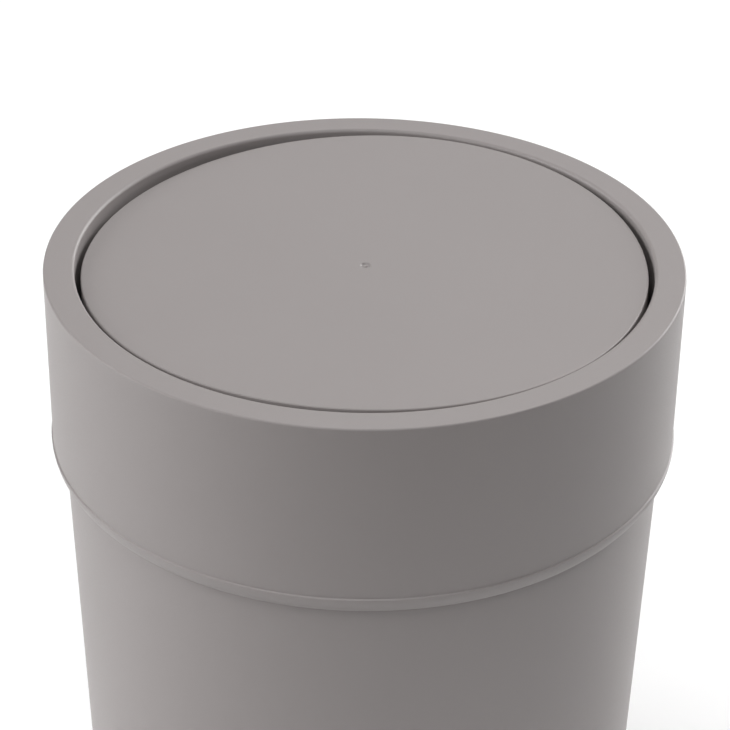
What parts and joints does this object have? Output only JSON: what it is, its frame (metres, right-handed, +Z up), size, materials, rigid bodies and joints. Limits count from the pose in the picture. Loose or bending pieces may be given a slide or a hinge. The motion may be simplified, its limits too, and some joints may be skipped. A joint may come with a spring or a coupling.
{
  "type": "countertop waste bin with swing flap",
  "caption": "Round tapered countertop bin with a deep lift-off collar and a flush, slightly dished flap that swings both ways on side pivots and levels itself by a weight below.",
  "frame": {"origin": "centre of the bin on the surface that it stands on", "axes": "+Z up along the bin's centre line, +Y along the flap's pivot, +X across the pivot"},
  "size_m": [0.166, 0.166, 0.22],
  "materials": {
    "bin_plastic": "warm grey moulded polypropylene, fine matt texture",
    "pin_plastic": "natural acetal, smooth",
    "weight_steel": "zinc plated mild steel, dull",
    "screw_steel": "zinc plated steel, bright"
  },
  "bodies": {
    "bucket": {"bucket": "bin_plastic"},
    "lid": {"lid_collar": "bin_plastic"},
    "flap": {"swing_disc": "bin_plastic", "pivot_pin_front": "pin_plastic", "pivot_pin_rear": "pin_plastic", "counterweight": "weight_steel", "weight_screws": "screw_steel"}
  },
  "joints": [
    {"name": "lid_lift", "type": "slide", "parent": "bucket", "child": "lid", "axis": [0, 0, 1], "range_m": [0, 0.06]},
    {"name": "flap_swing", "type": "hinge", "parent": "lid", "child": "flap", "pos_m": [0, 0, 0.213], "axis": [0, 1, 0], "range_deg": [-84.5, 85.5]}
  ]
}
